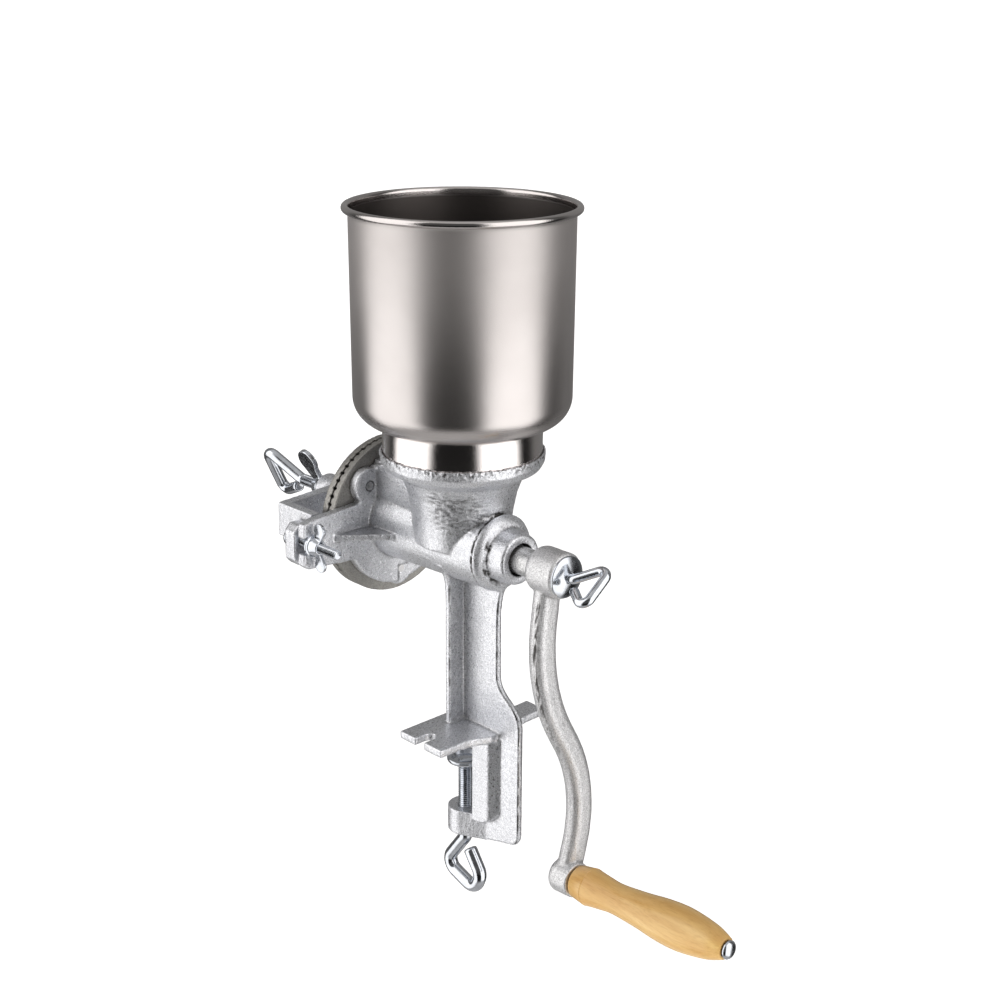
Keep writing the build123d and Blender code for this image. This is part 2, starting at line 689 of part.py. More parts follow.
# The arm's own plane has +x along +Y and +y up the arm, so its turns are measured from straight down.
with BuildLine(ARM_PLANE) as arm_line:
    heading = -90 + ARM_BENDS[0]
    first = PolarLine((0, 0), ARM_RUNS[0], heading)
    second = JernArc(first @ 1, first % 1, ARM_RADII[0], ARM_BENDS[1] - ARM_BENDS[0])
    third = PolarLine(second @ 1, ARM_RUNS[1], -90 + ARM_BENDS[1])
    fourth = JernArc(third @ 1, third % 1, ARM_RADII[1], ARM_BENDS[2] - ARM_BENDS[1])
    drop_left = ARM_DROP + ARM_PLANE.to_local_coords(fourth @ 1).Y
    last = PolarLine(fourth @ 1, drop_left / math.cos(math.radians(ARM_BENDS[2])), -90 + ARM_BENDS[2])

GRIP_ORIGIN = last @ 1
GRIP_PLANE = Plane(origin=GRIP_ORIGIN, x_dir=(0, 1, 0), z_dir=CRANK_OUT)
GRIP_AXIS = Axis(GRIP_ORIGIN, CRANK_OUT)
GRIP_SIDE = Plane(origin=GRIP_ORIGIN, x_dir=CRANK_OUT, z_dir=(0, -1, 0))

with BuildPart() as crank:
    # arm
    with BuildSketch(Plane(origin=ARM_ORIGIN, x_dir=CRANK_OUT, z_dir=arm_line.line % 0)):
        RectangleRounded(ARM_T, ARM_W, ARM_CORNER)
    sweep(path=arm_line.line)
    # hub with a rounded shoulder behind, boss for the grip's bolt
    with BuildSketch(AUGER_SIDE):
        with BuildLine():
            hub_back = Line((HUB_X, 0), (HUB_X, HUB_R - 6))
            shoulder = RadiusArc(hub_back @ 1, (HUB_X + 6, HUB_R), 6)
            hub_front = Polyline(shoulder @ 1, (HUB_END_X - 1, HUB_R), (HUB_END_X, HUB_R - 1))
            Polyline(hub_front @ 1, (HUB_END_X, 0), hub_back @ 0)
        make_face()
    revolve(axis=AUGER_AXIS)
    with BuildSketch(GRIP_SIDE):
        with BuildLine():
            boss_back = Line((-GRIP_BOSS_HALF_L, 0), (-GRIP_BOSS_HALF_L, GRIP_BOSS_R - 5))
            boss_round = RadiusArc(boss_back @ 1, (5 - GRIP_BOSS_HALF_L, GRIP_BOSS_R), 5)
            Polyline(boss_round @ 1, (GRIP_BOSS_HALF_L, GRIP_BOSS_R), (GRIP_BOSS_HALF_L, 0), boss_back @ 0)
        make_face()
    revolve(axis=GRIP_AXIS)
    # socket for the shaft with its flat, hole for the thumb screw, hole for the grip's bolt
    with BuildSketch(across(HUB_X - 1)):
        Circle(SHAFT_R + RUN)
        with Locations((0, 2 * SHAFT_R)):
            Rectangle(4 * SHAFT_R, 2 * (2 * SHAFT_R - SHAFT_FLAT - RUN), mode=Mode.SUBTRACT)
    extrude(amount=SHAFT_END_X + 0.1 - HUB_X + 1, mode=Mode.SUBTRACT)
    with BuildSketch(across(HUB_X)):
        Circle(CRANK_SCREW_R + 0.3)
    extrude(amount=HUB_END_X - HUB_X + 1, mode=Mode.SUBTRACT)
    with BuildSketch(GRIP_PLANE.offset(-GRIP_BOSS_HALF_L - 1)):
        Circle(HANDLE_BOLT_R + RUN)
    extrude(amount=2 * GRIP_BOSS_HALF_L + 2, mode=Mode.SUBTRACT)
save(crank, "crank")

with BuildPart() as crank_washer:
    with BuildSketch(AUGER_SIDE):
        with BuildLine():
            washer_edge = Polyline(
                (HUB_END_X + 3.4, CRANK_SCREW_R + RUN),
                (HUB_END_X, CRANK_SCREW_R + RUN),
                (HUB_END_X, 12.8),
                (HUB_END_X + 1.2, 12.8),
            )
            RadiusArc(washer_edge @ 1, washer_edge @ 0, 26)
        make_face()
    revolve(axis=AUGER_AXIS)
save(crank_washer, "crank_washer")

crank_screw = loop_screw(
    CRANK_SCREW_TIP_X,
    CRANK_STEM_X,
    CRANK_LOOP_X,
    CRANK_LOOP_HALF_W,
    CRANK_SCREW_R,
    CRANK_ROD_R,
    CRANK_BEND_R,
    CRANK_LOOP_ANGLE,
)
save(crank_screw, "crank_screw")

# ---------------------------------------------------------------- grip and its bolt
# Grip outline: distance along the bolt from the collar's back face, and radius
GRIP_OUTLINE = (
    (12.5, 11.8),
    (22, 10.4),
    (33, 9.5),
    (52, 10.8),
    (70, 12.8),
    (86, 13.1),
    (104, 10.6),
    (113.5, 7.6),
)
with BuildPart() as handle_grip:
    with BuildSketch(GRIP_SIDE):
        with BuildLine():
            collar = Polyline(
                (GRIP_START, HANDLE_BOLT_R + 0.1),
                (GRIP_START, 9.0),
                (GRIP_START + 1.5, 10.3),
                (GRIP_START + 11.5, 11.9),
                (GRIP_START + 12.5, 11.8),
            )
            belly = Spline([(GRIP_START + along, radius) for along, radius in GRIP_OUTLINE])
            Polyline(
                belly @ 1,
                (GRIP_START + GRIP_L, 6.3),
                (GRIP_START + GRIP_L, 5.0),
                (GRIP_START + GRIP_L - 3, 4.6),
                (GRIP_START + GRIP_L - 3, HANDLE_BOLT_R + 0.1),
                collar @ 0,
            )
        make_face()
    revolve(axis=GRIP_AXIS)
save(handle_grip, "handle_grip")

HEAD_START = GRIP_START + GRIP_L + 1.2
with BuildPart() as handle_bolt:
    with BuildSketch(GRIP_SIDE):
        with BuildLine():
            head = Polyline(
                (-GRIP_BOSS_HALF_L, 0),
                (-GRIP_BOSS_HALF_L, HANDLE_BOLT_R),
                (HEAD_START, HANDLE_BOLT_R),
                (HEAD_START, 5.6),
                (HEAD_START + 0.8, 5.6),
            )
            dome = RadiusArc(head @ 1, (HEAD_START + 2.8, 2.4), 6.0)
            Polyline(dome @ 1, (HEAD_START + 2.8, 0), head @ 0)
        make_face()
    revolve(axis=GRIP_AXIS)
save(handle_bolt, "handle_bolt")

# ---------------------------------------------------------------- clamp screw and pad
with BuildPart() as clamp_pad:
    with BuildSketch(SIDE):
        with BuildLine():
            Polyline(
                (CLAMP_TIP_R + RUN, PAD_TOP_Z - PAD_T),
                (7.0, PAD_TOP_Z - PAD_T),
                (PAD_R, PAD_TOP_Z - 2.0),
                (PAD_R, PAD_TOP_Z),
                (9.2, PAD_TOP_Z),
                (8.2, PAD_TOP_Z - 2.5),
                (CLAMP_TIP_R + RUN, PAD_TOP_Z - 2.5),
                close=True,
            )
        make_face()
    revolve(axis=SCREW_AXIS)
save(clamp_pad, "clamp_pad")

# Hook at the screw's lower end, in the plane of the frame: sideways from the screw's axis, and height
HOOK = ((0, -78.0), (0, -81.0), (-19.4, -107.3), (9.0, -117.0), (14.5, -104.0), (3.8, -88.5))
HOOK_BEND_R = 7.6
with BuildPart() as clamp_screw:
    with BuildSketch(SIDE):
        with BuildLine():
            Polyline(
                (0, -79.0),
                (CLAMP_R, -79.0),
                (CLAMP_R, PAD_TOP_Z - PAD_T - 0.1),
                (CLAMP_TIP_R, PAD_TOP_Z - PAD_T - 0.1),
                (CLAMP_TIP_R, PAD_TOP_Z - 2.4),
                (4.9, PAD_TOP_Z - 2.4),
                (4.1, PAD_TOP_Z - 1.0),
                (0, PAD_TOP_Z - 0.8),
                close=True,
            )
        make_face()
    revolve(axis=SCREW_AXIS)
    with BuildLine(SIDE) as hook_line:
        FilletPolyline(*HOOK, radius=HOOK_BEND_R)
    with BuildSketch(Plane.XY.offset(HOOK[0][1])):
        Circle(HOOK_ROD_R)
    sweep()
save(clamp_screw, "clamp_screw")
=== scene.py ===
import math

import bmesh
import bpy
import numpy as np
from mathutils import Matrix, Vector, noise


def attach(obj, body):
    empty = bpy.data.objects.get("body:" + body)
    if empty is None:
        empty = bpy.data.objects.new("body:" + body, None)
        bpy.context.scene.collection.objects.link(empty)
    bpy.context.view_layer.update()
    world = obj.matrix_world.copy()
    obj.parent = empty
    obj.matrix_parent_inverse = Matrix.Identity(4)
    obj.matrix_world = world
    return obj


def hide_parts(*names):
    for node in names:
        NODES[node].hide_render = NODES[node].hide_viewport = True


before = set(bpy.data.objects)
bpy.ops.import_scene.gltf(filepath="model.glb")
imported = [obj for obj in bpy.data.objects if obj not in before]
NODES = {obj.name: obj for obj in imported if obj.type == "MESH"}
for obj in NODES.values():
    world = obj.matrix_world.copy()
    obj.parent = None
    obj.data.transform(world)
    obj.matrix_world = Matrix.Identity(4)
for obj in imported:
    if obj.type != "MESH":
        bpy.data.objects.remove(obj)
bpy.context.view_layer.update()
MM = 0.001

# Sizes in millimetres, in the frame of the model: the origin is under the table jaw, +X runs along the
# auger towards the crank, +Z is up.
ORIGIN = Vector((0.0, 0.0, 0.0))
X_AXIS = Vector((1.0, 0.0, 0.0))
Z_AXIS = Vector((0.0, 0.0, 1.0))
AUGER_Z = 124.0
AUGER_LINE = Vector((0.0, 0.0, AUGER_Z))
HOPPER_X = -3.0
HOPPER_LINE = Vector((HOPPER_X, 0.0, 0.0))
BOLT_Y = 71.0
BOLT_Z = 121.5

# The hopper: its straight neck, rounded bottom, tapered wall and rolled rim
NECK_R = 48.6
NECK_TOP_Z = 198.0
SHEET = 1.0
CORNER_Z = 216.0
CORNER_R = 17.0
CUP_TAPER = 0.65 / 107.0
RIM_Z = 326.9
RIM_R = 67.8
BEAD_R = 2.2

# Way the grip points, tilted from +X by the cant, and where its axis starts
CANT = math.radians(4.0)
CRANK_OUT = Vector((math.cos(CANT), 0.0, math.sin(CANT)))
GRIP_ORIGIN = Vector((85.951, 6.156, -75.513))


# ---------------------------------------------------------------- mesh helpers
def link(name, mesh, material, body, replaced=()):
    """One finished piece: shaded, coloured, riding on its body and standing for its CAD nodes."""
    obj = bpy.data.objects.new(name, mesh)
    bpy.context.scene.collection.objects.link(obj)
    mesh.materials.clear()
    mesh.materials.append(material)
    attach(obj, body)
    if replaced:
        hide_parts(*replaced)
    return obj


def mesh_from(name, points, faces, smooth_angle=40.0):
    """Mesh from points in millimetres, smooth except over edges sharper than the angle."""
    mesh = bpy.data.meshes.new(name)
    mesh.from_pydata([tuple(p * MM for p in point) for point in points], [], faces)
    mesh.validate()
    mesh.update()
    mesh.shade_smooth()
    mesh.set_sharp_from_angle(angle=math.radians(smooth_angle))
    return mesh


def basis(axis):
    """Two directions square to an axis and to each other, right-handed with it."""
    helper = Vector((0, 0, 1)) if abs(axis.z) < 0.9 else Vector((1, 0, 0))
    side = axis.cross(helper).normalized()
    return side, axis.cross(side).normalized()


def lathe(name, origin, axis, profile, segments=96, smooth_angle=40.0):
    """Turned solid: a closed profile of (distance along the axis, radius) about the axis."""
    side, up = basis(axis)
    points = []
    for along, radius in profile:
        for k in range(segments):
            turn = 2 * math.pi * k / segments
            points.append(origin + axis * along + (side * math.cos(turn) + up * math.sin(turn)) * radius)
    count = len(profile)
    faces = []
    for i in range(count):
        j = (i + 1) % count
        for k in range(segments):
            m = (k + 1) % segments
            faces.append((i * segments + k, i * segments + m, j * segments + m, j * segments + k))
    mesh = mesh_from(name, points, faces, smooth_angle)
    return tidy_mesh(mesh)


def tidy_mesh(mesh, distance=0.00001):
    """Welds the rings that meet on the axis, and turns every face outwards."""
    work = bmesh.new()
    work.from_mesh(mesh)
    bmesh.ops.remove_doubles(work, verts=work.verts, dist=distance)
    bmesh.ops.dissolve_degenerate(work, edges=work.edges, dist=distance / 2)
    bmesh.ops.recalc_face_normals(work, faces=work.faces)
    work.to_mesh(mesh)
    work.free()
    mesh.update()
    return mesh


def arc(centre, radius, start, end, steps):
    """Points on an arc in a profile: centre as (along, radius), angles in degrees from the axis."""
    out = []
    for k in range(steps + 1):
        turn = math.radians(start + (end - start) * k / steps)
        out.append((centre[0] + radius * math.cos(turn), centre[1] + radius * math.sin(turn)))
    return out


def spline(points, steps):
    """Catmull-Rom curve through profile points."""
    out = []
    last = len(points) - 1
    for i in range(last):
        before, here = points[max(i - 1, 0)], points[i]
        there, after = points[i + 1], points[min(i + 2, last)]
        for k in range(steps):
            t = k / steps
            out.append(tuple(
                0.5 * (2 * here[c] + (there[c] - before[c]) * t
                       + (2 * before[c] - 5 * here[c] + 4 * there[c] - after[c]) * t * t
                       + (3 * here[c] - before[c] - 3 * there[c] + after[c]) * t ** 3)
                for c in range(2)
            ))
    out.append(points[last])
    return out


def thread(name, origin, axis, start, end, radius, pitch, depth, segments=40, rows=8):
    """Screw thread as real geometry: a right-hand V groove round a rod, tapered at both ends."""
    side, up = basis(axis)
    count = max(2, int(round((end - start) / pitch * rows)))
    points = [origin + axis * start]
    for i in range(count + 1):
        along = start + (end - start) * i / count
        fade = min(1.0, (along - start) / pitch + 0.15, (end - along) / pitch + 0.15)
        for k in range(segments):
            part = k / segments
            wave = abs(((along / pitch - part) % 1.0) * 2 - 1)
            height = min(1.0, max(0.0, wave * 1.35 - 0.15))
            r = radius - depth * (1 - height) - (1 - fade) * depth * 1.2
            turn = 2 * math.pi * part
            points.append(origin + axis * along + (side * math.cos(turn) + up * math.sin(turn)) * r)
    points.append(origin + axis * end)
    last = len(points) - 1
    faces = []
    for k in range(segments):
        m = (k + 1) % segments
        faces.append((0, 1 + m, 1 + k))
        faces.append((last, last - segments + k, last - segments + m))
        for i in range(count):
            low, high = 1 + i * segments, 1 + (i + 1) * segments
            faces.append((low + k, low + m, high + m, high + k))
    return tidy_mesh(mesh_from(name, points, faces, 60))


def rounded_path(points, radius, steps=9):
    """Polyline with each corner turned into an arc of the bend radius."""
    out = [points[0]]
    for before, here, after in zip(points, points[1:], points[2:]):
        back, ahead = (before - here).normalized(), (after - here).normalized()
        half = back.angle(ahead) / 2
        reach = radius / math.tan(half)
        centre = here + (back + ahead).normalized() * (radius / math.sin(half))
        start, end = here + back * reach - centre, here + ahead * reach - centre
        sweep = start.angle(end)
        for k in range(steps + 1):
            t = k / steps
            spoke = start * math.sin((1 - t) * sweep) + end * math.sin(t * sweep)
            out.append(centre + spoke / math.sin(sweep))
    out.append(points[-1])
    return out


def rod(name, path, radius, segments=28, end_round=0.35):
    """Round bar along a path, with softly rounded ends."""
    dense = [path[0]]
    for a, b in zip(path, path[1:]):
        parts = max(1, int((b - a).length / (1.2 * radius)))
        dense.extend(a + (b - a) * (k / parts) for k in range(1, parts + 1))
    edge = radius * end_round

    def rounding(tip, outwards, turns):
        return [(tip - outwards * edge * (1 - math.sin(turn)), radius - edge * (1 - math.cos(turn)))
                for turn in turns]

    quarter = [math.radians(90 * k / 4) for k in range(5)]
    rings = rounding(dense[0], (dense[0] - dense[1]).normalized(), quarter[::-1])
    rings += [(point, radius) for point in dense[1:-1]]
    rings += rounding(dense[-1], (dense[-1] - dense[-2]).normalized(), quarter)
    tangents = []
    for i in range(len(rings)):
        ahead, back = rings[min(i + 1, len(rings) - 1)][0], rings[max(i - 1, 0)][0]
        tangents.append((ahead - back).normalized())
    side, _ = basis(tangents[0])
    points = []
    for (centre, r), tangent in zip(rings, tangents):
        side = (side - tangent * side.dot(tangent)).normalized()
        up = tangent.cross(side)
        for k in range(segments):
            turn = 2 * math.pi * k / segments
            points.append(centre + (side * math.cos(turn) + up * math.sin(turn)) * r)
    faces = []
    for i in range(len(rings) - 1):
        for k in range(segments):
            m = (k + 1) % segments
            low, high = i * segments, (i + 1) * segments
            faces.append((low + k, low + m, high + m, high + k))
    faces.append(tuple(range(segments - 1, -1, -1)))
    faces.append(tuple(range((len(rings) - 1) * segments, len(rings) * segments)))
    return tidy_mesh(mesh_from(name, points, faces, 50))


def join(name, *meshes):
    """One mesh holding several separate closed shells."""
    work = bmesh.new()
    for mesh in meshes:
        work.from_mesh(mesh)
    out = bpy.data.meshes.new(name)
    work.to_mesh(out)
    work.free()
    for mesh in meshes:
        bpy.data.meshes.remove(mesh)
    out.shade_smooth()
    out.set_sharp_from_angle(angle=math.radians(50))
    return out


def cast_copy(name, node, voxel, rounding, shape=None):
    """Copy of a CAD node with rounded edges.

    shape(points, normals), in mm, gives back the moved points and how much darker the colour is at each,
    mostly painted shade in hollows, grooves and gaps.
    """
    mesh = NODES[node].data.copy()
    mesh.materials.clear()
    obj = bpy.data.objects.new(name + "_work", mesh)
    bpy.context.scene.collection.objects.link(obj)
    remesh = obj.modifiers.new("even", "REMESH")
    remesh.mode = "VOXEL"
    remesh.voxel_size = voxel * MM
    remesh.adaptivity = 0.0
    smooth = obj.modifiers.new("round", "SMOOTH")
    smooth.factor = 0.5
    smooth.iterations = rounding
    depsgraph = bpy.context.evaluated_depsgraph_get()
    out = bpy.data.meshes.new_from_object(obj.evaluated_get(depsgraph))
    bpy.data.objects.remove(obj)
    bpy.data.meshes.remove(mesh)
    out.name = name
    if shape is not None:
        count = len(out.vertices)
        points = np.empty(count * 3, np.float32)
        normals = np.empty(count * 3, np.float32)
        out.vertices.foreach_get("co", points)
        out.vertices.foreach_get("normal", normals)
        points = points.reshape(-1, 3).astype(np.float64) / MM
        points, dark = shape(points, normals.reshape(-1, 3).astype(np.float64))
        out.vertices.foreach_set("co", (points * MM).astype(np.float32).ravel())
        # The dark attribute carries painted shade, with some dark lines and specks.
        layer = out.attributes.new("dark", "FLOAT", "POINT")
        layer.data.foreach_set("value", dark.astype(np.float32))
    out.update()
    out.shade_smooth()
    return out


def lumps(points, size, seed):
    """Noise value at each point, about -1 to 1, with features of the given size in mm."""
    shift = Vector((seed * 17.3, seed * 5.1, seed * 9.7))
    return np.array([noise.noise(Vector(p) + shift) for p in points / np.asarray(size)])


def ramp(values, low, high):
    """0 up to the low value, rising evenly to 1 at the high one."""
    return np.clip((values - low) / (high - low), 0.0, 1.0)


def near(values, centre, inner, outer):
    """1 within the inner distance of the centre, falling to 0 at the outer one."""
    return ramp(-np.abs(values - centre), -outer, -inner)


# ---------------------------------------------------------------- materials
class Shader:
    """Small helper that wires one material's nodes."""

    def __init__(self, name):
        self.material = bpy.data.materials.new(name)
        self.material.use_nodes = True
        self.tree = self.material.node_tree
        self.shader = self.tree.nodes["Principled BSDF"]
        self.place = self.tree.nodes.new("ShaderNodeTexCoord").outputs["Object"]

    def node(self, kind, **values):
        made = self.tree.nodes.new(kind)
        for key, value in values.items():
            setattr(made, key, value)
        return made

    def wire(self, output, target):
        self.tree.links.new(output, target)

    def scaled(self, x, y, z, turn=0.0):
        made = self.node("ShaderNodeMapping")
        made.inputs["Scale"].default_value = (x, y, z)
        made.inputs["Rotation"].default_value = (0.0, turn, 0.0)
        self.wire(self.place, made.inputs["Vector"])
        return made.outputs["Vector"]

    def noise(self, scale, detail=2.0, roughness=0.5, place=None, distortion=0.0):
        made = self.node("ShaderNodeTexNoise")
        made.inputs["Scale"].default_value = scale
        made.inputs["Detail"].default_value = detail
        made.inputs["Roughness"].default_value = roughness
        made.inputs["Distortion"].default_value = distortion
        self.wire(place or self.place, made.inputs["Vector"])
        return made.outputs["Fac"]

    def spread(self, value, low, high, to_low, to_high):
        made = self.node("ShaderNodeMapRange", interpolation_type="SMOOTHSTEP")
        for key, number in (("From Min", low), ("From Max", high), ("To Min", to_low), ("To Max", to_high)):
            made.inputs[key].default_value = number
        self.wire(value, made.inputs["Value"])
        return made.outputs["Result"]

    def blend(self, value, low, high, first, second):
        made = self.node("ShaderNodeValToRGB")
        made.color_ramp.elements[0].position = low
        made.color_ramp.elements[0].color = (*first, 1)
        made.color_ramp.elements[1].position = high
        made.color_ramp.elements[1].color = (*second, 1)
        self.wire(value, made.inputs["Fac"])
        return made.outputs["Color"]

    def times(self, first, second):
        """Product of two colours: a Mix node's colour sockets follow its number and vector ones."""
        made = self.node("ShaderNodeMix", data_type="RGBA", blend_type="MULTIPLY")
        made.inputs["Factor"].default_value = 1.0
        self.wire(first, made.inputs[6])
        self.wire(second, made.inputs[7])
        return made.outputs[2]

    def combine(self, operation, first, second):
        made = self.node("ShaderNodeMath", operation=operation)
        self.wire(first, made.inputs[0])
        self.wire(second, made.inputs[1])
        return made.outputs[0]

    def bump(self, height, strength, distance, under=None):
        made = self.node("ShaderNodeBump")
        made.inputs["Strength"].default_value = strength
        made.inputs["Distance"].default_value = distance
        self.wire(height, made.inputs["Height"])
        if under is not None:
            self.wire(under, made.inputs["Normal"])
        return made.outputs["Normal"]

    def done(self, **sockets):
        for key, value in sockets.items():
            target = self.shader.inputs[key.replace("_", " ")]
            if isinstance(value, bpy.types.NodeSocket):
                self.wire(value, target)
            else:
                target.default_value = value
        return self.material


def cast_tin(name, bright, dark, rough_low, rough_high, grain):
    """Tinned sand casting: bright metal over a fine pitted grain, with painted shade in its hollows and
    creases.
    """
    s = Shader(name)
    fine = s.noise(1500, 3, 0.6)
    pits = s.noise(620, 2, 0.55)
    broad = s.noise(60, 3, 0.5)
    colour = s.blend(fine, 0.36, 0.6, dark, bright)
    colour = s.times(colour, s.blend(broad, 0.3, 0.7, (0.94, 0.94, 0.945), (1.0, 1.0, 1.0)))
    # Painted shade: the colour darkens where the surface curves inwards, in creases and corners.
    pointiness = s.node("ShaderNodeNewGeometry").outputs["Pointiness"]
    colour = s.times(colour, s.blend(pointiness, 0.43, 0.5, (0.35, 0.34, 0.33), (1.0, 1.0, 1.0)))
    # Painted shade carried by the dark attribute: grooves, steps, gaps and hollows, with some dark lines and
    # specks.
    shade_and_marks = s.node("ShaderNodeAttribute", attribute_name="dark").outputs["Fac"]
    colour = s.times(colour, s.blend(shade_and_marks, 0.15, 0.85, (1.0, 1.0, 1.0), (0.10, 0.095, 0.09)))
    normal = s.bump(pits, grain * 0.7, 0.0005)
    normal = s.bump(fine, grain * 1.3, 0.00022, normal)
    return s.done(
        Base_Color=colour,
        Metallic=0.9,
        Roughness=s.spread(pits, 0.35, 0.65, rough_high, rough_low),
        Normal=normal,
    )


def plated(name, colour, roughness, scratch=0.12):
    """Zinc-plated or bare bright steel with faint mottling and rubbing marks."""
    s = Shader(name)
    cloud = s.noise(220, 4, 0.6)
    rub = s.noise(2600, 2, 0.5)
    low = tuple(0.82 * c for c in colour)
    return s.done(
        Base_Color=s.blend(cloud, 0.35, 0.65, low, colour),
        Metallic=1.0,
        Roughness=s.spread(cloud, 0.3, 0.7, roughness * 0.75, roughness * 1.35),
        Normal=s.bump(rub, scratch, 0.0001),
    )


def hopper_steel():
    """Stainless sheet: satin up the cup and duller towards its top, polished on the neck and the rim, with
    painted shade on the cup's inner face.
    """
    s = Shader("hopper_steel")
    grain = s.noise(2100, 2, 0.6)
    cloud = s.noise(26, 3, 0.5)
    split = s.node("ShaderNodeSeparateXYZ")
    s.wire(s.place, split.inputs[0])
    height = split.outputs["Z"]
    neck_top, cup_bottom = (NECK_TOP_Z - 1.5) * MM, (NECK_TOP_Z + 1.5) * MM
    satin = s.spread(height, neck_top, cup_bottom, 0.12, 0.27)
    satin = s.combine("ADD", satin, s.spread(height, 0.200, 0.322, 0.0, 0.18))
    polish = s.spread(height, 0.3235, 0.3255, 0.0, 0.34)
    # Painted shade: the cup's inner face is darkened in colour.
    inner = s.node("ShaderNodeAttribute", attribute_name="dark").outputs["Fac"]
    outer = s.blend(cloud, 0.35, 0.65, (0.80, 0.755, 0.74), (0.86, 0.815, 0.80))
    # The cup is darker in colour than the neck.
    above_neck = s.spread(height, neck_top, cup_bottom, 0.0, 1.0)
    outer = s.times(outer, s.blend(above_neck, 0.0, 1.0, (1.0, 1.0, 1.0), (0.73, 0.73, 0.73)))
    return s.done(
        Base_Color=s.times(outer, s.blend(inner, 0.2, 0.9, (1.0, 1.0, 1.0), (0.17, 0.16, 0.155))),
        Metallic=1.0,
        Roughness=s.combine("SUBTRACT", satin, polish),
        Normal=s.bump(grain, 0.34, 0.00012),
    )


def beech():
    """Varnished beech turned along the grip, with long grain, flecks and faint darker streaks."""
    s = Shader("grip_wood")
    along = s.scaled(9.0, 150.0, 150.0, CANT)
    streak = s.noise(1.0, 5, 0.6, along, 0.4)
    fleck = s.noise(1.0, 2, 0.5, s.scaled(120.0, 1500.0, 1500.0, CANT))
    broad = s.noise(1.0, 2, 0.5, s.scaled(6.0, 40.0, 40.0, CANT))
    colour = s.blend(streak, 0.32, 0.68, (0.69, 0.39, 0.11), (0.86, 0.58, 0.22))
    colour = s.times(colour, s.blend(fleck, 0.3, 0.5, (0.90, 0.86, 0.80), (1.0, 1.0, 1.0)))
    colour = s.times(colour, s.blend(broad, 0.3, 0.7, (0.92, 0.88, 0.82), (1.0, 1.0, 1.0)))
    return s.done(
        Base_Color=colour,
        Roughness=s.spread(streak, 0.3, 0.7, 0.42, 0.3),
        Coat_Weight=0.55,
        Coat_Roughness=0.16,
        Normal=s.bump(streak, 0.12, 0.0004),
    )


TIN = cast_tin("cast_tin", (0.91, 0.92, 0.955), (0.52, 0.53, 0.555), 0.27, 0.44, 0.55)
TIN_FINE = cast_tin("crank_tin", (0.87, 0.87, 0.88), (0.48, 0.48, 0.485), 0.38, 0.54, 0.60)
BURR = cast_tin("burr_iron", (0.43, 0.42, 0.395), (0.27, 0.26, 0.245), 0.38, 0.52, 0.30)
SHAFT = cast_tin("shaft_tin", (0.74, 0.74, 0.745), (0.45, 0.45, 0.45), 0.25, 0.40, 0.40)
ZINC = plated("zinc_screw", (0.70, 0.73, 0.78), 0.15)
STEEL = plated("shaft_steel", (0.66, 0.66, 0.665), 0.30, 0.25)
HOPPER = hopper_steel()
WOOD = beech()

# ---------------------------------------------------------------- hopper
# Outside of the cup from the foot of the neck up, round the rolled rim, then the inside back down
HOPPER_PROFILE = (
    [(175.5, NECK_R - 0.2), (176.0, NECK_R), (180.5, 48.45), (187.0, 48.25), (193.5, 48.4)]
    + [(NECK_TOP_Z, NECK_R)]
    + arc((NECK_TOP_Z, NECK_R + SHEET), SHEET, -90, 0, 4)[1:-1]
    + arc((CORNER_Z, NECK_R), CORNER_R, 186, 90, 20)[1:]
    + [(322.0, 66.2), (324.2, 66.3)]
    + arc((RIM_Z, RIM_R), BEAD_R, 205, -20, 16)
    + arc((RIM_Z, RIM_R), BEAD_R, -35, -95, 5)
    + [(323.5, 65.25), (CORNER_Z, NECK_R + CORNER_R - SHEET)]
    + arc((CORNER_Z, NECK_R), CORNER_R - SHEET, 90, 180, 14)[1:]
    + [(NECK_TOP_Z + 1.0, NECK_R - SHEET), (193.5, 47.4), (187.0, 47.25), (180.5, 47.45)]
    + [(176.0, NECK_R - SHEET), (175.5, 47.8)]
)


def mark_inner_shade(mesh):
    """Marks the cup's inner face for painted shade, as it lies in shade under its rim."""
    layer = mesh.attributes.new("dark", "FLOAT", "POINT")
    mid_wall_r = NECK_R + CORNER_R - SHEET / 2
    for vertex, mark in zip(mesh.vertices, layer.data):
        out = Vector((vertex.co.x - HOPPER_X * MM, vertex.co.y, 0.0))
        height = vertex.co.z / MM
        within = out.length / MM < mid_wall_r + CUP_TAPER * (height - CORNER_Z)
        inner = within and vertex.normal.dot(out) < 0
        mark.value = float(inner and NECK_TOP_Z < height < 324.0)


hopper_mesh = lathe("hopper_shell", HOPPER_LINE, Z_AXIS, HOPPER_PROFILE, 256, 60)
mark_inner_shade(hopper_mesh)
link("hopper_shell", hopper_mesh, HOPPER, "hopper", ["hopper"])


# ---------------------------------------------------------------- castings
# Places on the body that its skin marks: painted shade in the groove behind the collar, a painted shadow at
# the step in front of it, painted shade in the mouth of the bearing and round the burr pins in the ears, the
# front of the column and the top of the web
GROOVE_X = 29.8
STEP_X = 36.4
MOUTH_X = 42.6
MOUTH_R = 10.1
PIN_Y = 25.5
PIN_Z = 149.5
EAR_X = -60.0
COLUMN_X = HOPPER_X + 4.0
COLUMN_Y = 15.0
WEB_TOP_Z = 96.0


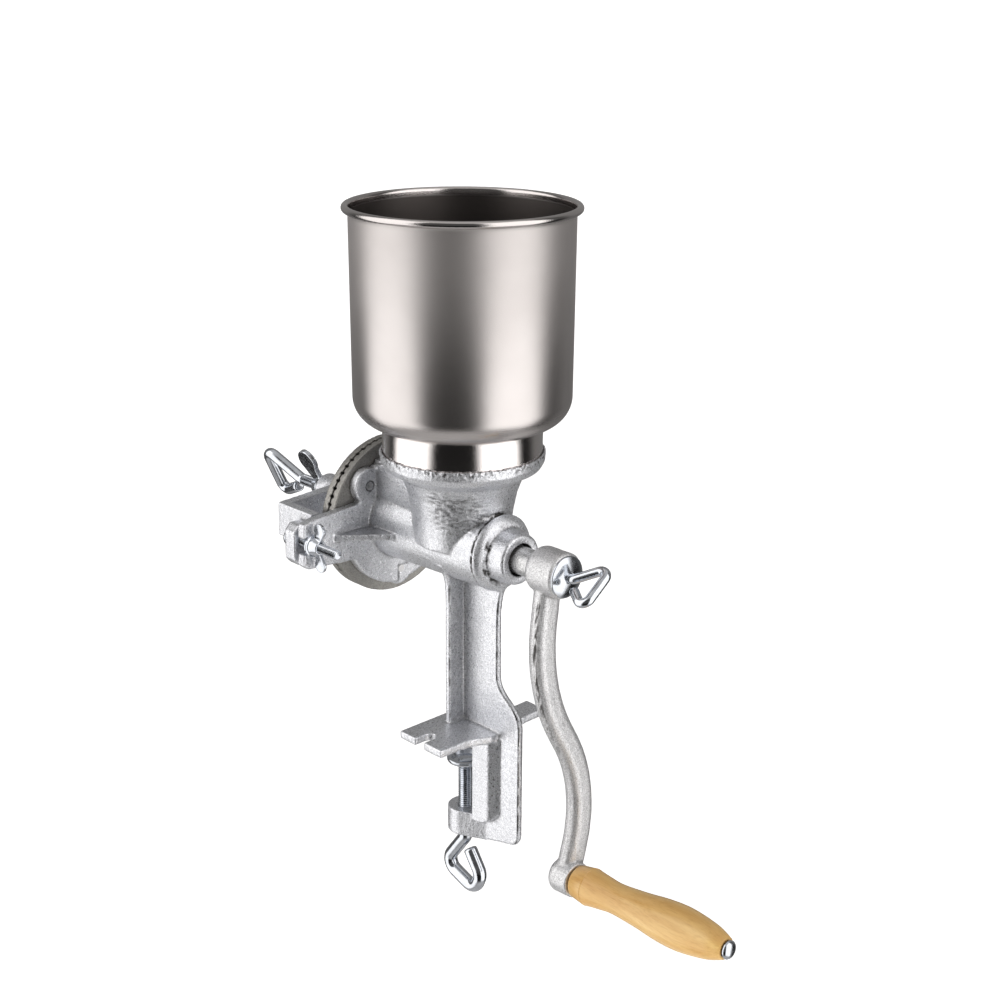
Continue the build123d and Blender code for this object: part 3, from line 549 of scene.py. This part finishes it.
def body_surface(points, normals):
    """Sand-cast skin of the body, its ragged ring, the ribbed patch on its throat and its parting lines,
    with painted shade in its hollows.
    """
    x, y, z = points.T
    from_axis = np.hypot(x - HOPPER_X, y)
    off_axis = np.hypot(y, z - AUGER_Z)
    rough = lumps(points, 2.2, 6)
    move = 0.12 * lumps(points, 9.0, 1) + 0.08 * lumps(points, 1.9, 2)
    dark = np.zeros(len(points))
    # ring: ragged only at its lip
    lip = ramp(z, 177.5, 179.5) * ramp(from_axis, 46, 48)
    move += lip * (0.45 * lumps(points, (2.4, 2.4, 1.8), 3) + 0.3 * lumps(points, 1.3, 4))
    dark += lip * 0.8 * ramp(lumps(points, 1.5, 7), 0.12, 0.4)
    # throat: level ripples, under painted shade that deepens in their troughs
    throat = ramp(z, 133, 143) * ramp(-z, -170, -160) * ramp(x, -3, 7) * ramp(-x, -31, -26) * ramp(-y, -4, 2)
    throat = throat * ramp(from_axis, 25, 28)
    ripple = lumps(points, (3.4, 3.4, 1.2), 5)
    move += throat * 0.45 * ripple
    dark += throat * (0.24 + 0.36 * ramp(-ripple - 0.5 * lumps(points, 0.9, 15), -0.1, 0.5))
    # painted shade in the groove behind the collar, a painted shadow at the step in front of it, painted
    # shade in the mouth of the bearing
    speckle = lumps(points, 1.1, 9)
    upper = ramp(z, AUGER_Z - 24, AUGER_Z - 12)
    on_barrel = ramp(off_axis, 20.6, 21.4) * ramp(-off_axis, -25.6, -24.9)
    dark += near(x, GROOVE_X, 0.9, 1.5) * on_barrel * upper * ramp(0.5 + rough + 0.5 * speckle, 0.0, 0.6)
    on_step = ramp(off_axis, 15.2, 16.2) * ramp(-off_axis, -20.5, -19.5)
    patchy = lumps(points, 6.0, 10)
    step_shadow = ramp(patchy + 0.35 * speckle, -0.15, 0.35) * (0.35 + 0.65 * ramp(-y, -4, 8))
    dark += near(x, STEP_X, 0.9, 2.4) * on_step * upper * step_shadow
    mouth = (x > MOUTH_X) & (x < 50) & (off_axis < 10.6) & (off_axis > 7.0)
    dark += np.where(mouth & (x < 47.9), 0.8, 0.0)
    # painted shade in the rings round the burr pins in the ears
    from_pin = np.hypot(np.abs(y) - PIN_Y, z - PIN_Z)
    dark += 0.8 * near(from_pin, 3.1, 0.35, 0.9) * ramp(normals[:, 0], 0.5, 0.8) * near(x, EAR_X, 2, 4)
    # painted shade on the level tops of the gussets
    gusset_shade = ramp(normals[:, 2], 0.6, 0.9) * near(z, AUGER_Z, 0.8, 1.5) * near(x, -50, 11, 13)
    dark += 0.4 * gusset_shade * near(np.abs(y), 39, 13, 15)
    # parting lines round the web and the column
    below = ramp(-z, -WEB_TOP_Z - 4, -WEB_TOP_Z)
    streak = lumps(points, (1.6, 1.6, 7.0), 14)
    edge = ramp(np.abs(normals[:, 0]), 0.3, 0.6) * ramp(x, 20, 24) * below
    move += edge * near(y, 0, 0.3, 1.4) * (0.45 + 0.35 * lumps(points, 2.4, 8))
    dark += edge * near(np.abs(y), 1.9, 0.45, 1.0) * ramp(streak + 0.3 * speckle, -0.25, 0.25)
    sides = near(np.abs(y), COLUMN_Y, 0.9, 1.6) * below * ramp(-x, -3, -2)
    dark += 0.7 * sides * near(x, COLUMN_X, 0.5, 1.1) * ramp(streak + 0.3 * speckle, -0.2, 0.3)
    points = points + normals * move[:, None]
    reach = np.hypot(points[:, 1], points[:, 2] - AUGER_Z)
    wider = np.where(mouth, np.maximum(reach, MOUTH_R) / np.maximum(reach, 1e-6), 1.0)
    points[:, 1] *= wider
    points[:, 2] = AUGER_Z + (points[:, 2] - AUGER_Z) * wider
    return points, np.clip(dark, 0.0, 1.0)


def bracket_surface(points, normals):
    """Coarser skin of the pressure bracket, with a ragged parting ridge along its back."""
    move = 0.16 * lumps(points, 7.0, 11) + 0.12 * lumps(points, 1.7, 12)
    ridge = ramp(-points[:, 0], 103, 105) * near(points[:, 2], AUGER_Z - 7, 0.4, 1.6)
    rough = lumps(points, 2.2, 13)
    move += ridge * (0.5 + 0.3 * rough)
    rear = ramp(-points[:, 0], 103, 105) * near(points[:, 2], AUGER_Z - 5, 0.3, 1.0)
    return points + normals * move[:, None], np.clip(rear * ramp(rough, -0.2, 0.2), 0.0, 1.0)


def crank_surface(points, normals):
    """Skin of the crank, with the ragged parting line along the left edge of its arm."""
    move = 0.08 * lumps(points, 6.0, 21) + 0.06 * lumps(points, 1.6, 22)
    out = (points[:, 0] - 72.0) * CRANK_OUT.x + (points[:, 2] - AUGER_Z) * CRANK_OUT.z
    rough = lumps(points, (2.6, 2.6, 9.0), 23)
    seam = near(out, 0.0, 0.2, 1.0) * ramp(-normals[:, 1], 0.7, 0.92) * ramp(-points[:, 2], -108, -104)
    move += seam * (0.3 + 0.35 * rough)
    line = near(out, 2.0, 0.8, 2.0) * ramp(-normals[:, 1], 0.3, 0.6) * ramp(-points[:, 2], -109, -106)
    line = line * (0.15 + 0.85 * ramp(points[:, 2], -10, 50))
    patchy = ramp(rough + 0.9 * lumps(points, (0.8, 0.8, 5.0), 24), -0.35, 0.3)
    return points + normals * move[:, None], np.clip(0.85 * line * patchy, 0.0, 1.0)


def burr_surface(points, normals):
    """Fine casting skin, kept just inside the CAD so that the closed burrs stay clear of each other."""
    move = 0.07 * lumps(points, 5.0, 31) + 0.04 * lumps(points, 1.4, 32) - 0.12
    return points + normals * move[:, None], np.zeros(len(points))


def stamped_surface(points, normals):
    """Slightly uneven skin of a stamped part."""
    return points + normals * (0.05 * lumps(points, 3.0, 41))[:, None], np.zeros(len(points))


# Each: piece, node, voxel in mm, rounding passes, surface, material, body, slot
CASTINGS = (
    ("mill_body_cast", "mill_body", 0.8, 3, body_surface, TIN, "frame", "cast_tin"),
    ("pressure_bracket_cast", "pressure_bracket", 0.8, 4, bracket_surface, TIN, "frame", "bracket_tin"),
    ("crank_cast", "crank", 0.7, 4, crank_surface, TIN_FINE, "rotor", "crank_tin"),
    ("stationary_burr_cast", "stationary_burr", 0.6, 1, burr_surface, BURR, "frame", "burr_iron"),
    ("rotating_burr_cast", "rotating_burr", 0.6, 1, burr_surface, BURR, "rotor", "burr_iron"),
    ("burr_carrier_cast", "burr_carrier", 0.7, 3, burr_surface, TIN, "rotor", "cast_tin"),
    ("wing_nut_left_stamped", "wing_nut_left", 0.3, 4, stamped_surface, ZINC, "nut_left", "zinc_screw"),
    ("wing_nut_right_stamped", "wing_nut_right", 0.3, 4, stamped_surface, ZINC, "nut_right", "zinc_screw"),
    ("lock_nut_stamped", "lock_nut", 0.35, 5, stamped_surface, ZINC, "lock_nut", "zinc_screw"),
)
for name, node, voxel, rounding, surface, material, body, slot in CASTINGS:
    link(name, cast_copy(name, node, voxel, rounding, surface), material, body, [node])

# ---------------------------------------------------------------- screws and washers
def loop_path(stem_x, loop_x, half_w, rod_r, bend_r, angle):
    """Bent rod that ends a thumb screw in a triangular loop, in the plane at the angle from +Y."""
    out = Vector((0, math.cos(math.radians(angle)), math.sin(math.radians(angle))))
    ahead = math.copysign(1.0, loop_x - stem_x)
    flat = (
        (stem_x - ahead * 1.0, 0.0),
        (stem_x + ahead * 2.2, 0.0),
        (loop_x, half_w),
        (loop_x, -half_w),
        (stem_x + ahead * 2.6 * rod_r, -2.15 * rod_r),
    )
    return rounded_path([AUGER_LINE + X_AXIS * along + out * aside for along, aside in flat], bend_r)


# Each: piece, node, body; thread: start, end, radius, pitch, depth; loop: stem, far side, half its width,
# rod radius, bend radius, angle from +Y
THUMB_SCREWS = (
    ("adjusting_screw_bent", "adjusting_screw", "adjuster",
     (-163.5, -97.4, 4.0, 1.25, 0.62), (-163.0, -195.4, 19.0, 3.9, 5.0, 115.0)),
    ("crank_screw_bent", "crank_screw", "crank_screw",
     (63.0, 89.0, 3.0, 1.0, 0.5), (89.0, 110.5, 15.9, 2.95, 4.2, 37.0)),
)
for name, node, body, threaded, loop in THUMB_SCREWS:
    rod_r = loop[3]
    screw = join(
        name,
        thread(f"{node}_thread", AUGER_LINE, X_AXIS, *threaded),
        rod(f"{node}_loop", loop_path(*loop), rod_r),
    )
    link(name, screw, ZINC, body, [node])
link(
    "crank_washer_domed",
    lathe(
        "crank_washer_domed", AUGER_LINE, X_AXIS,
        [(85.4, 3.1), (85.4, 12.4), (85.6, 12.75), (86.3, 12.8)]
        + spline([(86.7, 12.5), (87.5, 10.2), (88.2, 7.2), (88.6, 4.6), (88.7, 3.4)], 5)
        + [(88.5, 3.1)],
        96, 50,
    ),
    ZINC, "crank_washer", ["crank_washer"],
)
for side, label in ((-1, "left"), (1, "right")):
    link(
        f"bracket_washer_{label}_turned",
        lathe(
            f"bracket_washer_{label}_turned", Vector((0, side * BOLT_Y, BOLT_Z)), X_AXIS,
            [(-60.5, 3.1), (-60.5, 6.7), (-60.3, 7.0), (-59.2, 7.0), (-58.95, 6.7), (-58.95, 3.1)],
        ),
        ZINC, f"washer_{label}", [f"bracket_washer_{label}"],
    )
bolt_parts = []
for side in (-1, 1):
    centre = Vector((0, side * BOLT_Y, BOLT_Z))
    bolt_parts.append(thread(f"tail_{side}", centre, X_AXIS, -80.5, -36.0, 3.0, 1.0, 0.5))
    bolt_parts.append(lathe(
        f"head_{side}", centre, X_AXIS,
        [(-84.0, 0.0), (-84.0, 4.6), (-83.2, 5.7), (-82.2, 6.0), (-81.0, 6.0), (-81.0, 0.0)],
    ))
bolts = join("bracket_bolts_threaded", *bolt_parts)
link("bracket_bolts_threaded", bolts, ZINC, "frame", ["bracket_bolts"])

# ---------------------------------------------------------------- clamp screw and pad
# Corners of the hook as (x, z), before they are bent round
HOOK = ((0, -78.0), (0, -81.0), (-19.4, -107.3), (9.0, -117.0), (14.5, -104.0), (3.8, -88.5))
HOOK_ROD_R = 4.45
HOOK_BEND_R = 7.6
link(
    "clamp_screw_bent",
    join(
        "clamp_screw_bent",
        thread("clamp_thread", ORIGIN, Z_AXIS, -79.5, -28.6, 4.9, 1.5, 0.95),
        lathe(
            "clamp_tip", ORIGIN, Z_AXIS,
            [(-29.5, 0), (-29.5, 3.4), (-25.4, 3.4), (-25.3, 4.9), (-24.7, 4.9), (-24.1, 4.0), (-23.9, 0)],
        ),
        rod("clamp_hook", rounded_path([Vector((x, 0, z)) for x, z in HOOK], HOOK_BEND_R), HOOK_ROD_R),
    ),
    ZINC, "clamp", ["clamp_screw"],
)
link(
    "clamp_pad_dished",
    lathe(
        "clamp_pad_dished", ORIGIN, Z_AXIS,
        [(-28.5, 3.5), (-28.5, 6.6), (-28.2, 7.3), (-25.6, 11.6), (-24.9, 12.1), (-23.4, 12.2)]
        + [(-23.0, 11.9), (-23.0, 9.5), (-23.3, 9.1), (-25.2, 8.3), (-25.5, 7.9), (-25.5, 3.5)],
        96, 35,
    ),
    ZINC, "pad", ["clamp_pad"],
)

# ---------------------------------------------------------------- grip and its bolt
GRIP_START = 9.2
GRIP_END = 125.2
GRIP_BORE_R = 3.15
# Waist and belly of the grip: distance from its start, radius
BELLY = (
    (12.5, 11.55), (22.0, 10.4), (33.0, 9.5), (52.0, 10.8),
    (70.0, 12.8), (86.0, 13.1), (104.0, 10.6), (113.5, 7.6),
)
link(
    "handle_grip_turned",
    lathe(
        "handle_grip_turned", GRIP_ORIGIN, CRANK_OUT,
        [(GRIP_START, GRIP_BORE_R), (GRIP_START, 8.8), (GRIP_START + 0.5, 9.6), (GRIP_START + 1.5, 10.3)]
        + [(GRIP_START + 11.0, 11.75), (GRIP_START + 11.6, 11.85), (GRIP_START + 12.0, 11.5)]
        + spline([(GRIP_START + along, radius) for along, radius in BELLY], 9)
        + [(GRIP_END - 0.8, 6.9), (GRIP_END, 6.2), (GRIP_END, 5.2), (GRIP_END - 0.4, 4.9)]
        + [(GRIP_END - 3.0, 4.6), (GRIP_END - 3.0, GRIP_BORE_R)],
        128, 28,
    ),
    WOOD, "grip", ["handle_grip"],
)
HEAD = GRIP_END + 1.2
BOLT_R = 3.0
link(
    "handle_bolt_turned",
    lathe(
        "handle_bolt_turned", GRIP_ORIGIN, CRANK_OUT,
        [(-8.5, 0.0), (-8.5, BOLT_R - 0.3), (-8.2, BOLT_R), (HEAD, BOLT_R), (HEAD, 5.3), (HEAD + 0.25, 5.6)]
        + [(HEAD + 0.9, 5.6), (HEAD + 1.7, 5.0), (HEAD + 2.4, 3.9), (HEAD + 2.75, 2.4), (HEAD + 2.8, 0.0)],
        64, 50,
    ),
    ZINC, "rotor", ["handle_bolt"],
)

# Inner pieces keep their CAD shape and only get a material
for name in ("auger", "burr_pins", "carrier_pins", "drive_pin", "thrust_ball"):
    NODES[name].data.materials.clear()
    NODES[name].data.materials.append(SHAFT if name == "auger" else STEEL)

# ---------------------------------------------------------------- camera
# Angles round from the front, down and about the line of sight; place in metres
AZIMUTH, PITCH, ROLL = math.radians(46.23), math.radians(18.54), math.radians(0.42)
CAMERA_AT = (0.7020, -0.6439, 0.4692)
BACK = Vector((math.sin(AZIMUTH) * math.cos(PITCH), -math.cos(AZIMUTH) * math.cos(PITCH), math.sin(PITCH)))
LEVEL = Vector((math.cos(AZIMUTH), math.sin(AZIMUTH), 0.0))
OVER = BACK.cross(LEVEL)
RIGHT = LEVEL * math.cos(ROLL) + OVER * math.sin(ROLL)
UP = OVER * math.cos(ROLL) - LEVEL * math.sin(ROLL)
camera = bpy.data.objects.new("camera", bpy.data.cameras.new("camera"))
camera.data.sensor_width = 36.0
camera.data.lens = 59.5
camera.data.clip_start = 0.01
camera.data.clip_end = 200.0
bpy.context.scene.collection.objects.link(camera)
camera.matrix_world = Matrix((
    (RIGHT.x, UP.x, BACK.x, CAMERA_AT[0]),
    (RIGHT.y, UP.y, BACK.y, CAMERA_AT[1]),
    (RIGHT.z, UP.z, BACK.z, CAMERA_AT[2]),
    (0.0, 0.0, 0.0, 1.0),
))
bpy.context.scene.camera = camera

# ---------------------------------------------------------------- floor, light
# Metres: the floor lies just under the clamp screw at its lowest
FLOOR_Z = -0.152
SPAN = 60.0
floor_mesh = bpy.data.meshes.new("floor")
floor_mesh.from_pydata(
    [(-SPAN, -SPAN, FLOOR_Z), (SPAN, -SPAN, FLOOR_Z), (SPAN, SPAN, FLOOR_Z), (-SPAN, SPAN, FLOOR_Z)],
    [], [(0, 1, 2, 3)],
)
floor = bpy.data.objects.new("floor", floor_mesh)
bpy.context.scene.collection.objects.link(floor)
floor.visible_glossy = False
floor.visible_shadow = False
paper = Shader("paper")
floor_mesh.materials.append(paper.done(
    Base_Color=paper.blend(paper.noise(3.0), 0.3, 0.7, (0.90, 0.90, 0.90), (0.92, 0.92, 0.92)),
    Roughness=0.9,
    Emission_Color=(1.0, 1.0, 1.0, 1.0),
    Emission_Strength=0.6,
))

# Two tall soft boxes, light from above and below, and a dark room in front and behind, held in the world
world = bpy.data.worlds.new("studio")
bpy.context.scene.world = world
world.use_nodes = True
tree = world.node_tree
tree.nodes.clear()


def world_math(operation, *values):
    made = tree.nodes.new("ShaderNodeMath")
    made.operation = operation
    for socket, value in zip(made.inputs, values):
        if isinstance(value, bpy.types.NodeSocket):
            tree.links.new(value, socket)
        else:
            socket.default_value = value
    return made.outputs[0]


def world_band(value, low, high, soft):
    """1 between low and high, falling to 0 over the soft width on each side."""
    sides = []
    for start, end in ((low - soft, low + soft), (high + soft, high - soft)):
        made = tree.nodes.new("ShaderNodeMapRange")
        made.interpolation_type = "SMOOTHSTEP"
        for key, number in (("From Min", start), ("From Max", end), ("To Min", 0.0), ("To Max", 1.0)):
            made.inputs[key].default_value = number
        tree.links.new(value, made.inputs["Value"])
        sides.append(made.outputs["Result"])
    return world_math("MULTIPLY", *sides)


direction = tree.nodes.new("ShaderNodeTexCoord").outputs["Generated"]


def along_axis(axis):
    made = tree.nodes.new("ShaderNodeVectorMath")
    made.operation = "DOT_PRODUCT"
    tree.links.new(direction, made.inputs[0])
    made.inputs[1].default_value = axis
    return made.outputs["Value"]


towards = along_axis((math.sin(AZIMUTH), -math.cos(AZIMUTH), 0.0))
sideways = along_axis(tuple(LEVEL))
bearing = world_math("DEGREES", world_math("ARCTAN2", sideways, towards))
height = world_math("DEGREES", world_math("ARCSINE", along_axis(tuple(Z_AXIS))))
# Each light in degrees: bearing from, to, softness; height from, to, softness; then its strength
LIGHTS = (
    (-110, -46, 5, -45, 58, 8, 1.55),
    (25, 88, 5, -45, 58, 8, 1.65),
    (-400, 400, 1, 56, 120, 8, 0.55),
    (-400, 400, 1, -120, -50, 9, 0.50),
    (-400, 400, 1, -6, 60, 9, 0.08),
    (118, 400, 12, -60, 60, 9, 0.16),
    (-400, -128, 12, -60, 60, 9, 0.16),
)
AMBIENT = 0.012
total = AMBIENT
for low, high, soft, bottom, top, fade, strength in LIGHTS:
    box = world_math("MULTIPLY", world_band(bearing, low, high, soft), world_band(height, bottom, top, fade))
    total = world_math("ADD", total, world_math("MULTIPLY", box, strength))
lamp = tree.nodes.new("ShaderNodeBackground")
lamp.inputs["Color"].default_value = (1.0, 0.985, 0.97, 1.0)
tree.links.new(total, lamp.inputs["Strength"])
plain = tree.nodes.new("ShaderNodeBackground")
plain.inputs["Color"].default_value = (1.0, 1.0, 1.0, 1.0)
mix = tree.nodes.new("ShaderNodeMixShader")
tree.links.new(tree.nodes.new("ShaderNodeLightPath").outputs["Is Camera Ray"], mix.inputs["Fac"])
tree.links.new(lamp.outputs[0], mix.inputs[1])
tree.links.new(plain.outputs[0], mix.inputs[2])
tree.links.new(mix.outputs[0], tree.nodes.new("ShaderNodeOutputWorld").inputs["Surface"])
bpy.context.scene.view_settings.view_transform = "Standard"
